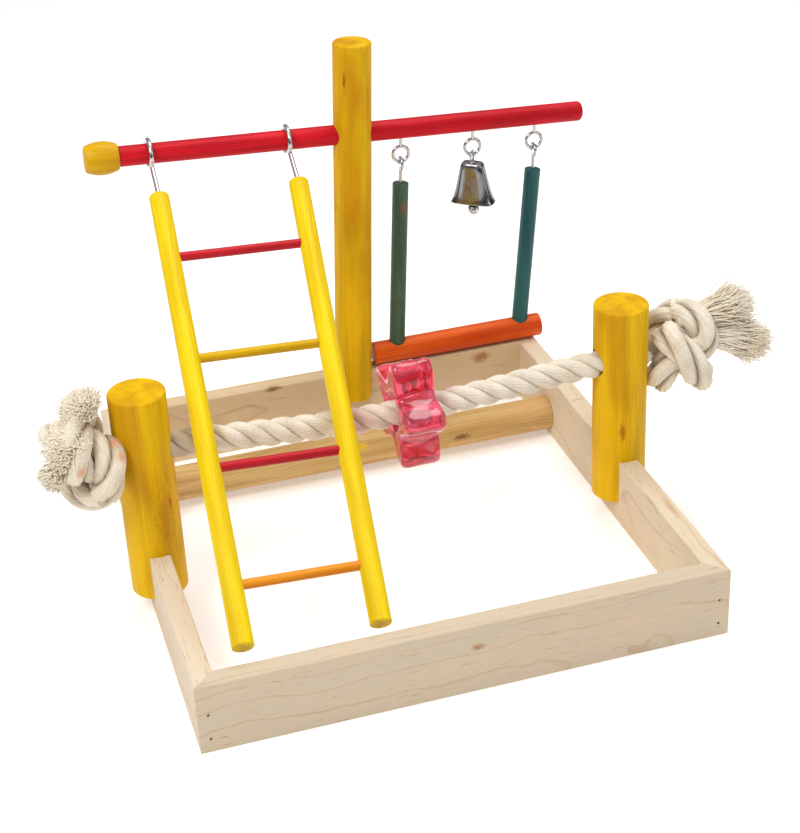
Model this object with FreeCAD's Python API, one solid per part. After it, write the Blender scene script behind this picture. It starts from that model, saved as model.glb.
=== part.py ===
"""Parrot play stand: a pine base frame, three stained posts, a rope perch and hanging toys.

Millimetres, +Z up, +Y to the back. The pieces are drawn about the middle of the base frame,
on the surface that it stands on, and are saved with the origin at the middle of the front
rail's underside. The mast leans a little to the right, and the crossbar with all that hangs
on it is drawn square to the mast, in the bar frame: x along the bar, y to the back, z up the
mast, with its origin where bar and mast cross.
"""
import FreeCAD, Part
import functools
import math
import os

# Base frame of four mitred rails
frame_width = 350.0
frame_depth = 360.0
rail_height = 50.0
rail_thickness = 14.0
rail_edge = 1.0
fit = 0.05                  # gap per side of what is glued or driven in

# Nails of the frame corners and of the low perch, and the wire staple in the right rail
nail_diameter = 1.8
nail_length = 30.0
nail_sunk = 1.2
nail_heights = (10.0, 28.0)
staple_crown = 8.0
staple_leg = 9.0
staple_wire = 1.1
staple_y = 62.0

# Short posts, forked over the side rails
post_diameter = 38.0
post_top = 166.0
post_bottom = 17.0
post_y = -16.0
post_edge = 1.6

# Rope through both short posts, knotted and frayed outside them
rope_diameter = 18.5
rope_hole_play = 1.0        # hole over rope, on the diameter
rope_post_height = 123.8
rope_low_x = -8.0
rope_low_height = 110.6
rope_bend_radius = 1100.0
rope_post_bend_radius = 150.0
rope_knot_gap = 0.3
knot_drop = 2.0             # middle of the knots below the rope in the posts
knot_turn_radius = 23.0
knot_turn_tilt = 15.0       # degrees from square to the rope
knot_turn_shift = 4.5       # the two turns of a knot lie this far above and below its middle
knot_core_diameter = 31.0
left_knot_pitch = 6.0       # between the two turns, along the rope
right_knot_pitch = 20.0
left_tassel_length = 48.0
left_tassel_diameter = 46.0
left_tassel_rise = 47.0     # degrees above level
left_tassel_turn = 45.0     # degrees from the rope's line to the front
right_tassel_length = 64.0
right_tassel_diameter = 56.0
right_tassel_rise = 8.0
right_tassel_turn = 0.0
tassel_outline = ((0.0, 0.36), (0.3, 0.46), (0.86, 1.0), (1.0, 0.7))    # of length, of diameter

# Star bead on the rope
bead_x = 15.0
bead_radius = 43.0
bead_valley_radius = 26.0
bead_width = 32.0
bead_tip_width = 15.0
bead_face_share = 0.74      # size of the end faces against the middle
bead_play = 0.8             # bore over rope, on the radius
bead_points = 5
bead_turn = 8.0

# Mast, forked over the back rail
mast_diameter = 28.4
mast_x = 24.5
mast_lean = 3.0             # degrees to the right
mast_fork = 23.0            # how far the fork reaches down the rail
mast_above_rail = 264.0
mast_edge = 2.0
bar_above_rail = 194.4

# Crossbar and its barrel-shaped end cap
bar_diameter = 14.9
bar_left = 173.0            # from the mast axis to the cap
bar_right = 180.5
bar_end_edge = 3.0
cap_length = 24.0
cap_diameter = 24.0
cap_end_diameter = 18.5
cap_bore_depth = 14.0
cap_edge = 1.5

# Low natural perch between the side rails
perch_diameter = 26.0
perch_y = 106.0
perch_height = 17.5
perch_end_gap = 0.3

# Screw eyes in the bar and the hooks that hang in them
eye_wire = 2.6
eye_radius = 6.1            # to the middle of the wire
eye_drop = 20.0             # bar axis to ring centre
eye_screw = 9.0             # length of screw in the wood
hook_wire = 2.6
hook_radius = 4.2
link_gap = 0.3              # between two wires that hang in each other

# Swing
swing_left_x = 37.5
swing_right_x = 143.5
rod_left_shift = -2.0       # the feet of the rods stand this far to the right of their tops
rod_right_shift = -6.0
rod_diameter = 12.2
rod_top_drop = 43.3         # bar axis to the top of the rods
rod_socket_play = 0.2
rod_socket_below = 3.0      # socket depth below the perch axis
swing_perch_diameter = 18.0
swing_perch_right = 180.0   # world x of its right end
swing_rail_gap = 0.6        # above the back rail
swing_mast_gap = 1.2

# Ladder, hooked over the bar and leaning on the rope
ladder_rope_gap = 0.2       # the left rail rests on the rope
ladder_least_lean = 45.0    # degrees from the mast direction, below and above the real lean
ladder_most_lean = 80.0
ladder_rail_diameter = 14.2
ladder_top_drop = 39.5      # along the ladder, bar axis to the rail tops
ladder_length = 347.0
ladder_left_top_x = -151.0
ladder_right_top_x = -50.0
ladder_left_foot_x = -164.0
ladder_right_foot_x = -77.0
rung_diameter = 6.6
rung_first = 53.5
rung_pitch = 84.0
rung_count = 4
rung_seat = 5.0
rung_play = 0.1
ladder_hook_wire = 3.4
ladder_hook_inner = 9.0
ladder_hook_gap = 0.4       # to the bar where the hook bears
ladder_hook_turn = 272.0
ladder_hook_screw = 12.0

# Bell: four-sided shell, hanger and clapper, turned about the upright
bell_x = 94.0
bell_turn = -38.0
bell_top_drop = 6.2         # below the eye wire that it hangs on
bell_height = 32.0
bell_mouth = (34.0, 18.0)
bell_waist = (23.5, 13.0)
bell_crown = (17.0, 10.0)
bell_waist_share = 0.5
bell_corner = 2.4
bell_wall = 0.8
hanger_wire = 1.6
hanger_radius = 3.9
hanger_gap = 0.5            # ring over eye, which turns in it
hanger_stem = 2.0
hanger_flange = 5.2
hanger_flange_height = 0.8
hanger_neck = 1.0           # between the lower flange and the lower ring
clapper_wire = 1.4
clapper_ball_diameter = 9.0
clapper_ball_drop = 44.7

Vec = FreeCAD.Vector
ORIGIN = Vec(0, 0, 0)
X_AXIS = Vec(1, 0, 0)
Y_AXIS = Vec(0, 1, 0)
Z_AXIS = Vec(0, 0, 1)


# Frames that follow from the sizes above
def bar_frame():
    """Placement of the bar frame: mast foot on the back rail, up the leaning mast."""
    turn = FreeCAD.Rotation(Y_AXIS, mast_lean)
    foot = Vec(mast_x, frame_depth / 2 - rail_thickness / 2, rail_height)
    return FreeCAD.Placement(foot + turn.multVec(Vec(0, 0, bar_above_rail)), turn)


BAR = bar_frame()


def on_bar(shape):
    placed = shape.copy()
    placed.Placement = BAR.multiply(placed.Placement)
    return placed


def bell_frame():
    """Upright frame at the wire of the bell's eye, turned with the bell."""
    wire = BAR.multVec(Vec(bell_x, 0, -eye_drop - eye_radius))
    return FreeCAD.Placement(wire, FreeCAD.Rotation(Z_AXIS, bell_turn))


def at_bell(shape):
    placed = shape.copy()
    placed.Placement = bell_frame().multiply(placed.Placement)
    return placed


# Small shapes used by many pieces
def dowel(start, end, diameter):
    return Part.makeCylinder(diameter / 2, (end - start).Length, start, end - start)


def bent_wire(centre, axis, start, wire, angle):
    """Round wire bent through an angle about centre, from start."""
    tangent = axis.cross(start - centre)
    ring = Part.Face(Part.Wire(Part.makeCircle(wire / 2, start, tangent)))
    return ring.revolve(centre, axis, angle)


def round_end(solid, edges_at, radius):
    """Rounds the circular edges whose middle is at one of the given points."""
    chosen = []
    for edge in solid.Edges:
        circle = edge.Curve
        if isinstance(circle, Part.Circle) and edge.isClosed():
            if any(circle.Center.distanceToPoint(point) < 0.01 for point in edges_at):
                chosen.append(edge)
    return solid.makeFillet(radius, chosen)


def origin_shift():
    """From the middle of the base frame to the middle of the front rail's underside."""
    return Vec(0, frame_depth / 2 - rail_thickness / 2, 0)


def save(name, shape):
    placed = shape.copy()
    placed.translate(origin_shift())
    placed.exportStep("parts/" + name + ".step")


# Base frame
def mitred_rail(length):
    """Rail with its outer face on y = 0, mitred at both ends, long edges rounded."""
    half = length / 2
    inner = half - rail_thickness
    corners = [Vec(-half, 0, 0), Vec(half, 0, 0), Vec(inner, rail_thickness, 0),
               Vec(-inner, rail_thickness, 0), Vec(-half, 0, 0)]
    rail = Part.Face(Part.makePolygon(corners)).extrude(Vec(0, 0, rail_height))
    long_edges = [edge for edge in rail.Edges if abs(edge.tangentAt(edge.FirstParameter).x) > 0.99]
    return rail.makeFillet(rail_edge, long_edges)


def place(shape, position, turn):
    placed = shape.copy()
    placed.Placement = FreeCAD.Placement(position, FreeCAD.Rotation(Z_AXIS, turn))
    return placed


def corner_nails(diameter):
    """Two nails in each corner, driven from the front and back faces."""
    nails = []
    x = frame_width / 2 - rail_thickness / 2
    for side in (-1, 1):
        for face in (-1, 1):
            for height in nail_heights:
                head = Vec(side * x, face * (frame_depth / 2 - nail_sunk), height)
                point = head - Vec(0, face * nail_length, 0)
                nails.append(dowel(head, point, diameter))
    return nails


def perch_nails(diameter):
    """One nail through each side rail into the end of the low perch."""
    nails = []
    for side in (-1, 1):
        head = Vec(side * (frame_width / 2 - nail_sunk), perch_y, perch_height)
        nails.append(dowel(head, head - Vec(side * nail_length, 0, 0), diameter))
    return nails


def staple(wire):
    """Wire staple across the top of the right rail, its crown let in flush."""
    x = frame_width / 2 - rail_thickness / 2
    z = rail_height - staple_wire / 2
    left = Vec(x - staple_crown / 2, staple_y, z)
    right = Vec(x + staple_crown / 2, staple_y, z)
    down = Vec(0, 0, -staple_leg)
    body = dowel(left, right, wire)
    for corner in (left, right):
        body = body.fuse(Part.makeSphere(wire / 2, corner))
        body = body.fuse(dowel(corner, corner + down, wire))
    return body.removeSplitter()


def nail_holes():
    drill = nail_diameter + 2 * fit
    holes = corner_nails(drill) + perch_nails(drill)
    inset = Vec(0, nail_sunk, 0)
    for nail in corner_nails(drill):
        side = 1 if nail.CenterOfMass.y > 0 else -1
        outward = nail.copy()
        outward.translate(inset * side)
        holes.append(outward)
    for nail in perch_nails(drill):
        side = 1 if nail.CenterOfMass.x > 0 else -1
        outward = nail.copy()
        outward.translate(Vec(side * nail_sunk, 0, 0))
        holes.append(outward)
    return holes


def base_rails():
    holes = nail_holes() + [staple(staple_wire + 2 * fit)]
    half_w = frame_width / 2
    half_d = frame_depth / 2
    rails = {
        "front_rail": place(mitred_rail(frame_width), Vec(0, -half_d, 0), 0),
        "back_rail": place(mitred_rail(frame_width), Vec(0, half_d, 0), 180),
        "left_rail": place(mitred_rail(frame_depth), Vec(-half_w, 0, 0), -90),
        "right_rail": place(mitred_rail(frame_depth), Vec(half_w, 0, 0), 90),
    }
    return {name: rail.cut(holes) for name, rail in rails.items()}


def low_perch():
    reach = frame_width / 2 - rail_thickness - perch_end_gap
    perch = dowel(Vec(-reach, perch_y, perch_height), Vec(reach, perch_y, perch_height),
                  perch_diameter)
    return perch.cut(perch_nails(nail_diameter + 2 * fit))


# Posts
def fork_slot(x, y, along_x):
    """Space of the rail in a post's fork, up to the rail's top."""
    width = rail_thickness + 2 * fit
    reach = 2 * max(post_diameter, mast_diameter)
    size = (reach, width) if along_x else (width, reach)
    corner = Vec(x - size[0] / 2, y - size[1] / 2, -rail_height)
    return Part.makeBox(size[0], size[1], 2 * rail_height, corner)


def short_post(side):
    x = side * (frame_width / 2 - rail_thickness / 2)
    top = Vec(x, post_y, post_top)
    post = dowel(Vec(x, post_y, post_bottom), top, post_diameter)
    post = round_end(post, [top], post_edge)
    hole_start = Vec(x - post_diameter, post_y, rope_post_height)
    hole_end = Vec(x + post_diameter, post_y, rope_post_height)
    hole = dowel(hole_start, hole_end, rope_diameter + rope_hole_play)
    return post.cut([fork_slot(x, post_y, False), hole])


def mast():
    top = Vec(0, 0, mast_above_rail - bar_above_rail)
    bottom = Vec(0, 0, -bar_above_rail - mast_fork)
    body = round_end(dowel(bottom, top, mast_diameter), [top], mast_edge)
    hole_half = Vec(mast_diameter, 0, 0)
    body = body.cut(dowel(-hole_half, hole_half, bar_diameter + 2 * fit))
    return on_bar(body).cut(fork_slot(mast_x, frame_depth / 2 - rail_thickness / 2, True))


# Crossbar
def eye_screw_at(x, diameter):
    top = Vec(x, 0, eye_screw - bar_diameter / 2)
    return dowel(top, Vec(x, 0, -eye_drop + eye_radius), diameter)


def crossbar():
    left = Vec(-bar_left - cap_bore_depth + fit, 0, 0)
    right = Vec(bar_right, 0, 0)
    bar = round_end(dowel(left, right, bar_diameter), [right], bar_end_edge)
    holes = [eye_screw_at(x, eye_wire + 2 * fit) for x in (swing_left_x, swing_right_x, bell_x)]
    return on_bar(bar.cut(holes))


def end_cap():
    """Barrel with bulging sides and a blind bore for the bar."""
    start = Vec(-bar_left, 0, 0)
    end = start - Vec(cap_length, 0, 0)
    rim = Vec(0, 0, cap_end_diameter / 2)
    belly = start - Vec(cap_length / 2, 0, 0) + Vec(0, 0, cap_diameter / 2)
    outline = [Part.makeLine(start, start + rim),
               Part.Arc(start + rim, belly, end + rim).toShape(),
               Part.makeLine(end + rim, end)]
    outline.append(Part.makeLine(end, start))
    barrel = Part.Face(Part.Wire(outline)).revolve(start, X_AXIS, 360)
    barrel = round_end(barrel, [start, end], cap_edge)
    bore = dowel(start, start - Vec(cap_bore_depth, 0, 0), bar_diameter + 2 * fit)
    return on_bar(barrel.cut(bore))


def screw_eye(x):
    ring = Part.makeTorus(eye_radius, eye_wire / 2, Vec(x, 0, -eye_drop), Y_AXIS)
    return on_bar(ring.fuse(eye_screw_at(x, eye_wire)))


# Swing
def swing_perch_axis():
    """Level, above the middle of the back rail."""
    height = rail_height + swing_rail_gap + swing_perch_diameter / 2
    depth = frame_depth / 2 - rail_thickness / 2
    mast_reach = mast_diameter / 2 / math.cos(math.radians(mast_lean))
    rise = height + swing_perch_diameter / 2 - rail_height
    mast_side = mast_x + rise * math.tan(math.radians(mast_lean)) + mast_reach
    return Vec(mast_side + swing_mast_gap, depth, height), Vec(swing_perch_right, depth, height)


def rod_foot(x):
    """Where a swing rod ends in the perch, in the bar frame."""
    left, _ = swing_perch_axis()
    lean = math.radians(mast_lean)
    drop = (BAR.Base.z - x * math.sin(lean) - left.z) / math.cos(lean)
    return Vec(x, 0, -drop - rod_socket_below)


def hook_circle():
    """Centre of the hook's bend below the wire of the eye that it hangs on."""
    return eye_drop + eye_radius + hook_radius - hook_wire / 2 - eye_wire / 2 - link_gap


def swing_hook(x):
    centre = Vec(x, 0, -hook_circle())
    bottom = centre - Vec(0, 0, hook_radius)
    bend = bent_wire(centre, -X_AXIS, bottom, hook_wire, 285)
    shank = dowel(bottom, Vec(x, 0, -rod_top_drop - eye_screw), hook_wire)
    knee = Part.makeSphere(hook_wire / 2, bottom)
    turn = FreeCAD.Rotation(-X_AXIS, 285)
    tip = Part.makeSphere(hook_wire / 2, centre + turn.multVec(bottom - centre))
    return on_bar(bend.fuse([shank, knee, tip]))


def swing_rod(x, shift):
    top = Vec(x, 0, -rod_top_drop)
    rod = dowel(top, rod_foot(x + shift), rod_diameter)
    screw = dowel(top - Vec(0, 0, eye_screw), top + Vec(0, 0, hook_wire), hook_wire + 2 * fit)
    return on_bar(rod.cut(screw))


def swing_perch():
    left, right = swing_perch_axis()
    perch = round_end(dowel(left, right, swing_perch_diameter), [left, right], 1.2)
    sockets = []
    for x, shift in ((swing_left_x, rod_left_shift), (swing_right_x, rod_right_shift)):
        top = Vec(x, 0, -rod_top_drop)
        socket = dowel(top, rod_foot(x + shift), rod_diameter + 2 * rod_socket_play)
        sockets.append(on_bar(socket))
    return perch.cut(sockets)


# Ladder
def ladder_way(lean):
    """Direction down the ladder, in the bar frame, at a lean in degrees from the mast."""
    angle = math.radians(lean)
    return Vec(0, -math.sin(angle), -math.cos(angle))


def rail_point(along, left, way):
    """Point of a rail's axis, at a length down the ladder from its rail tops."""
    top = ladder_left_top_x if left else ladder_right_top_x
    foot = ladder_left_foot_x if left else ladder_right_foot_x
    x = top + (foot - top) * along / ladder_length
    return Vec(x, 0, 0) + way * (ladder_top_drop + along)


@functools.cache
def ladder_lean():
    """Lean at which the left rail rests on the rope, found by halving the range."""
    clear = (rope_diameter + ladder_rail_diameter) / 2 + ladder_rope_gap
    low, high = ladder_least_lean, ladder_most_lean
    while high - low > 0.001:
        lean = (low + high) / 2
        way = ladder_way(lean)
        ends = [BAR.multVec(rail_point(along, True, way)) for along in (0, ladder_length)]
        axis = Part.makeLine(*ends)
        distance, touching, _ = rope_axis().distToShape(axis)
        below = touching[0][1].z < touching[0][0].z
        if below or distance < clear:
            low = lean
        else:
            high = lean
    return high


def ladder_down():
    return ladder_way(ladder_lean())


def ladder_point(along, left):
    return rail_point(along, left, ladder_down())


def ladder_rung(index, diameter):
    along = rung_first + index * rung_pitch
    seat = Vec(ladder_rail_diameter / 2 - rung_seat, 0, 0)
    return dowel(ladder_point(along, True) + seat, ladder_point(along, False) - seat, diameter)


def hook_screw(left, diameter):
    """Straight shank of a ladder hook, square to the bar, into the rail's top."""
    top = ladder_point(0, left)
    x = Vec(top.x, 0, 0)
    start = x + ladder_down() * (ladder_hook_centre() + ladder_hook_bend())
    return dowel(start, top + ladder_down() * ladder_hook_screw, diameter)


def ladder_rail(left):
    top = ladder_point(0, left)
    foot = ladder_point(ladder_length, left)
    rail = round_end(dowel(top, foot, ladder_rail_diameter), [top, foot], 0.8)
    cuts = [ladder_rung(index, rung_diameter + rung_play) for index in range(rung_count)]
    cuts.append(hook_screw(left, ladder_hook_wire + 2 * fit))
    return on_bar(rail.cut(cuts))


def ladder_hook_bend():
    return ladder_hook_inner + ladder_hook_wire / 2


def ladder_hook_centre():
    """Distance down the ladder from the bar axis to the middle of the hook's bend."""
    return ladder_hook_inner - bar_diameter / 2 - ladder_hook_gap


def ladder_hook(left):
    """Bend from the shank up in front of the bar, over it and down behind it."""
    x = Vec(ladder_point(0, left).x, 0, 0)
    centre = x + ladder_down() * ladder_hook_centre()
    start = centre + ladder_down() * ladder_hook_bend()
    bend = bent_wire(centre, -X_AXIS, start, ladder_hook_wire, ladder_hook_turn)
    turn = FreeCAD.Rotation(-X_AXIS, ladder_hook_turn)
    tip = Part.makeSphere(ladder_hook_wire / 2, centre + turn.multVec(start - centre))
    knee = Part.makeSphere(ladder_hook_wire / 2, start)
    return on_bar(bend.fuse([hook_screw(left, ladder_hook_wire), tip, knee]))


# Bell
def bell_section(size, inset, height):
    """Rectangle with cut corners, level, at a height."""
    x = size[0] / 2 - inset
    y = size[1] / 2 - inset
    cut = bell_corner
    outline = [Vec(x - cut, -y), Vec(x, -y + cut), Vec(x, y - cut), Vec(x - cut, y),
               Vec(-x + cut, y), Vec(-x, y - cut), Vec(-x, -y + cut), Vec(-x + cut, -y)]
    return Part.makePolygon([Vec(p.x, p.y, height) for p in outline + outline[:1]])


def bell_body(inset, top, bottom):
    """Solid under the bell's skin, drawn in by inset, between two heights."""
    crown = -bell_top_drop
    waist = crown - bell_height * bell_waist_share
    upper = Part.makeLoft([bell_section(bell_crown, inset, top),
                           bell_section(bell_waist, inset, waist)], True, True)
    lower = Part.makeLoft([bell_section(bell_waist, inset, waist),
                           bell_section(bell_mouth, inset, bottom)], True, True)
    return upper.fuse(lower)


def bell_shell():
    crown = -bell_top_drop
    mouth = crown - bell_height
    hollow = bell_body(bell_wall, crown - bell_wall, mouth)
    stem_hole = Part.makeCylinder(hanger_stem / 2 + fit, 2 * bell_wall,
                                  Vec(0, 0, crown - 1.5 * bell_wall))
    return at_bell(bell_body(0, crown, mouth).cut([hollow, stem_hole]))


def hanger_ring_centre():
    """Lower ring of the hanger, inside the bell, which carries the clapper."""
    under_flange = -bell_top_drop - bell_wall - hanger_flange_height
    return under_flange - hanger_neck - clapper_wire / 2 - hanger_ring_radius()


def hanger_ring_radius():
    return clapper_wire + 2 * link_gap


def bell_hanger():
    """Ring on the eye, stem through the crown between two flanges, lower ring."""
    loop = Vec(0, 0, hanger_gap + hanger_wire / 2 + eye_wire / 2 - hanger_radius)
    ring = Vec(0, 0, hanger_ring_centre())
    crown = Vec(0, 0, -bell_top_drop)
    flange = Vec(0, 0, hanger_flange_height)
    wall = Vec(0, 0, bell_wall)
    pieces = [
        dowel(loop - Vec(0, 0, hanger_radius), ring + Vec(0, 0, hanger_ring_radius()), hanger_stem),
        dowel(crown, crown + flange, hanger_flange),
        dowel(crown - wall, crown - wall - flange, hanger_flange),
        Part.makeTorus(hanger_ring_radius(), clapper_wire / 2, ring, X_AXIS),
    ]
    return at_bell(Part.makeTorus(hanger_radius, hanger_wire / 2, loop, X_AXIS).fuse(pieces))


def clapper_pivot():
    return hanger_ring_centre() - hanger_ring_radius()


def bell_clapper():
    pivot = Vec(0, 0, clapper_pivot())
    ring_radius = clapper_wire + link_gap
    ring = Part.makeTorus(ring_radius, clapper_wire / 2, pivot, Y_AXIS)
    ball = Vec(0, 0, -clapper_ball_drop)
    rod = dowel(pivot - Vec(0, 0, ring_radius), ball, clapper_wire)
    return at_bell(ring.fuse([rod, Part.makeSphere(clapper_ball_diameter / 2, ball)]))


# Rope, knots and tassels
def rope_points():
    """Route of the rope from knot to knot, level in the posts and sagging between them."""
    post_face = frame_width / 2 - rail_thickness / 2 - post_diameter / 2
    outside = post_face + post_diameter
    return [Vec(-outside, post_y, rope_post_height), Vec(-post_face, post_y, rope_post_height),
            Vec(rope_low_x, post_y, rope_low_height),
            Vec(post_face, post_y, rope_post_height), Vec(outside, post_y, rope_post_height)]


def rounded_route(points, radii):
    """Straight runs through the points, joined by tangent arcs of the given radii."""
    edges = []
    here = points[0]
    for index, radius in enumerate(radii, start=1):
        corner = points[index]
        back = (points[index - 1] - corner).normalize()
        ahead = (points[index + 1] - corner).normalize()
        half = (math.pi - back.getAngle(ahead)) / 2
        reach = radius * math.tan(half)
        middle = (back + ahead).normalize()
        start = corner + back * reach
        end = corner + ahead * reach
        top = corner + middle * (radius / math.cos(half) - radius)
        edges.append(Part.makeLine(here, start))
        edges.append(Part.Arc(start, top, end).toShape())
        here = end
    edges.append(Part.makeLine(here, points[-1]))
    return Part.Wire(edges)


def rope_radii():
    return rope_post_bend_radius, rope_bend_radius, rope_post_bend_radius


@functools.cache
def rope_axis():
    return rounded_route(rope_points(), rope_radii())


def rope():
    route = rope_axis()
    section = Part.Wire(Part.makeCircle(rope_diameter / 2, rope_points()[0], X_AXIS))
    tube = route.makePipeShell([section], True, False)
    area = math.pi * rope_diameter ** 2 / 4
    print("rope: length %.1f, volume / (section x length) %.4f, bends of radius %s"
          % (route.Length, tube.Volume / (area * route.Length), rope_radii()))
    return tube


def knot_turn_centre(side, pitch, index):
    """Centre of a knot's first turn, at the post, or of its second, further out."""
    outside = frame_width / 2 - rail_thickness / 2 + post_diameter / 2 + rope_knot_gap
    lean = knot_turn_radius * math.sin(math.radians(knot_turn_tilt))
    x = side * (outside + lean + rope_diameter / 2 + index * pitch)
    shift = side * knot_turn_shift * (2 * index - 1)
    return Vec(x, post_y, rope_post_height - knot_drop + shift)


def rope_knot(side, pitch):
    """Two crossed turns of the rope round a core, against the outside of the post."""
    tilt = math.radians(knot_turn_tilt)
    axes = (Vec(math.cos(tilt), 0, math.sin(tilt)), Vec(math.cos(tilt), side * math.sin(tilt), 0))
    centres = [knot_turn_centre(side, pitch, index) for index in (0, 1)]
    middle = (centres[0] + centres[1]) / 2
    core_half = Vec(pitch / 2 + rope_diameter / 3, 0, 0)
    core = dowel(middle - core_half, middle + core_half, knot_core_diameter)
    turns = [Part.makeTorus(knot_turn_radius, rope_diameter / 2, centre, axis)
             for centre, axis in zip(centres, axes)]
    return core.fuse(turns)


def tassel(side, pitch, length, diameter, rise, turn):
    """Frayed end: a horn that flares to a rounded brush, out of the knot's second turn."""
    up = math.radians(rise)
    front = math.radians(turn)
    way = Vec(side * math.cos(up) * math.cos(front), -math.cos(up) * math.sin(front), math.sin(up))
    root = knot_turn_centre(side, pitch, 1)
    rings = []
    for share, width in tassel_outline:
        circle = Part.makeCircle(width * diameter / 2, root + way * length * share, way)
        rings.append(Part.Wire(circle))
    return Part.makeLoft(rings, True, False).cut(rope_knot(side, pitch))


# Star bead
def star(share, x):
    """Star outline in the plane across the rope, its points blunted by short sides."""
    points = []
    step = 360.0 / bead_points
    blunt = math.degrees(0.11)
    for index in range(bead_points):
        tip = 90 + bead_turn + index * step
        for angle, radius in ((tip - blunt, bead_radius), (tip + blunt, bead_radius),
                              (tip + step / 2, bead_valley_radius)):
            a = math.radians(angle)
            points.append(Vec(x, post_y + share * radius * math.cos(a),
                              bead_height() + share * radius * math.sin(a)))
    return Part.makePolygon(points + points[:1])


def bead_height():
    """Height of the rope's axis at the bead, on the rope's middle bend."""
    upright = Part.makeLine(Vec(bead_x, post_y, 0), Vec(bead_x, post_y, post_top))
    return rope_axis().distToShape(upright)[1][0][0].z


def star_bead():
    wide = bead_width / 2
    narrow = bead_tip_width / 2
    sections = [star(bead_face_share, bead_x - wide), star(1.0, bead_x - narrow),
                star(1.0, bead_x + narrow), star(bead_face_share, bead_x + wide)]
    body = Part.makeLoft(sections, True, True)
    axis_start = Vec(bead_x - bead_width, post_y, bead_height())
    axis_end = Vec(bead_x + bead_width, post_y, bead_height())
    return body.cut(dowel(axis_start, axis_end, rope_diameter + 2 * bead_play))


def main():
    os.makedirs("parts", exist_ok=True)
    for name, rail in base_rails().items():
        save(name, rail)
    save("corner_nails", Part.makeCompound(corner_nails(nail_diameter)))
    save("perch_nails", Part.makeCompound(perch_nails(nail_diameter)))
    save("rail_staple", staple(staple_wire))
    save("low_perch", low_perch())
    save("left_post", short_post(-1))
    save("right_post", short_post(1))
    save("mast", mast())
    save("crossbar", crossbar())
    save("bar_end_cap", end_cap())
    save("rope", rope())
    save("rope_knot_left", rope_knot(-1, left_knot_pitch))
    save("rope_knot_right", rope_knot(1, right_knot_pitch))
    save("rope_tassel_left", tassel(-1, left_knot_pitch, left_tassel_length, left_tassel_diameter,
                                    left_tassel_rise, left_tassel_turn))
    save("rope_tassel_right", tassel(1, right_knot_pitch, right_tassel_length,
                                     right_tassel_diameter, right_tassel_rise, right_tassel_turn))
    save("star_bead", star_bead())
    for name, x, shift in (("left", swing_left_x, rod_left_shift),
                           ("right", swing_right_x, rod_right_shift)):
        save("swing_eye_" + name, screw_eye(x))
        save("swing_hook_" + name, swing_hook(x))
        save("swing_rod_" + name, swing_rod(x, shift))
    save("swing_perch", swing_perch())
    for name, left in (("left", True), ("right", False)):
        save("ladder_rail_" + name, ladder_rail(left))
        save("ladder_hook_" + name, ladder_hook(left))
    for index in range(rung_count):
        save("ladder_rung_%d" % (index + 1), on_bar(ladder_rung(index, rung_diameter)))
    save("bell_eye", screw_eye(bell_x))
    save("bell_hanger", bell_hanger())
    save("bell_shell", bell_shell())
    save("bell_clapper", bell_clapper())


main()
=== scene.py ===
"""Looks of a table-top parrot play stand. Metres, +Z up, +Y to the back."""
import math
import bpy
import numpy as np
from mathutils import Matrix, Vector


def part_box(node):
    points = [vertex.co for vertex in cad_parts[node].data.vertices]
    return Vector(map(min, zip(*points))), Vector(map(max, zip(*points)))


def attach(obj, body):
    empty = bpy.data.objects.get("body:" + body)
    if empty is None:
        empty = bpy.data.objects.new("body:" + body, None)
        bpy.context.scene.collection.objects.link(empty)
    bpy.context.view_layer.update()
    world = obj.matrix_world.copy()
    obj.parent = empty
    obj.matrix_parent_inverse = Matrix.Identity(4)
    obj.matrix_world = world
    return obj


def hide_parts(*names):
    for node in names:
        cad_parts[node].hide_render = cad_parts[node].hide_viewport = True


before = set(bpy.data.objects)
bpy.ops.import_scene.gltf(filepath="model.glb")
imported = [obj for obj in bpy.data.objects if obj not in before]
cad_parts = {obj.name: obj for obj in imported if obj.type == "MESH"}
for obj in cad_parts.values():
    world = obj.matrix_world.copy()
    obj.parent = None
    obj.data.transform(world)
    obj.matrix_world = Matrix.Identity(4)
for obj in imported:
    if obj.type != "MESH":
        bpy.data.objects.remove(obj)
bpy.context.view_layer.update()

# --- Studio ---------------------------------------------------------------------------------
# A pale sweep of floor under soft daylight from large lamps on the left and above, and the
# camera where the photograph was taken from, a little left of the middle and looking down.


def linear(code):
    """An sRGB hex colour as linear red, green and blue, with an alpha of 1."""
    parts = [int(code[i:i + 2], 16) / 255 for i in (0, 2, 4)]
    return tuple(c / 12.92 if c <= 0.04045 else ((c + 0.055) / 1.055) ** 2.4
                 for c in parts) + (1.0,)


def add_node(tree, kind, sets=None, links=None, **settings):
    """Adds one shader node with its settings, its socket values and its incoming links."""
    made = tree.nodes.new("ShaderNode" + kind)
    for name, value in settings.items():
        setattr(made, name, value)
    for socket, value in (sets or {}).items():
        made.inputs[socket].default_value = value
    for socket, source in (links or {}).items():
        tree.links.new(source, made.inputs[socket])
    return made


def new_material(name, roughness, colour="FFFFFF", **sockets):
    """A material with one Principled shader, and its node tree and shader."""
    material = bpy.data.materials.new(name)
    material.use_nodes = True
    shader = material.node_tree.nodes["Principled BSDF"]
    shader.inputs["Base Color"].default_value = linear(colour)
    shader.inputs["Roughness"].default_value = roughness
    for socket, value in sockets.items():
        shader.inputs[socket.replace("_", " ")].default_value = value
    return material, material.node_tree, shader


floor_side = 12.0
floor_glow = 0.28           # lifts the matt floor to paper white round the stand
bpy.ops.object.select_all(action="DESELECT")
bpy.ops.mesh.primitive_plane_add(size=floor_side, location=(0, 0, 0))
floor = bpy.context.object
floor.name = "studio_floor"
floor_paint, _, _ = new_material("matt_white_studio_floor", 0.9, "F4F3F1",
                                 Emission_Strength=floor_glow, Emission_Color=linear("FFFFFF"))
floor.data.materials.append(floor_paint)

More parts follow.
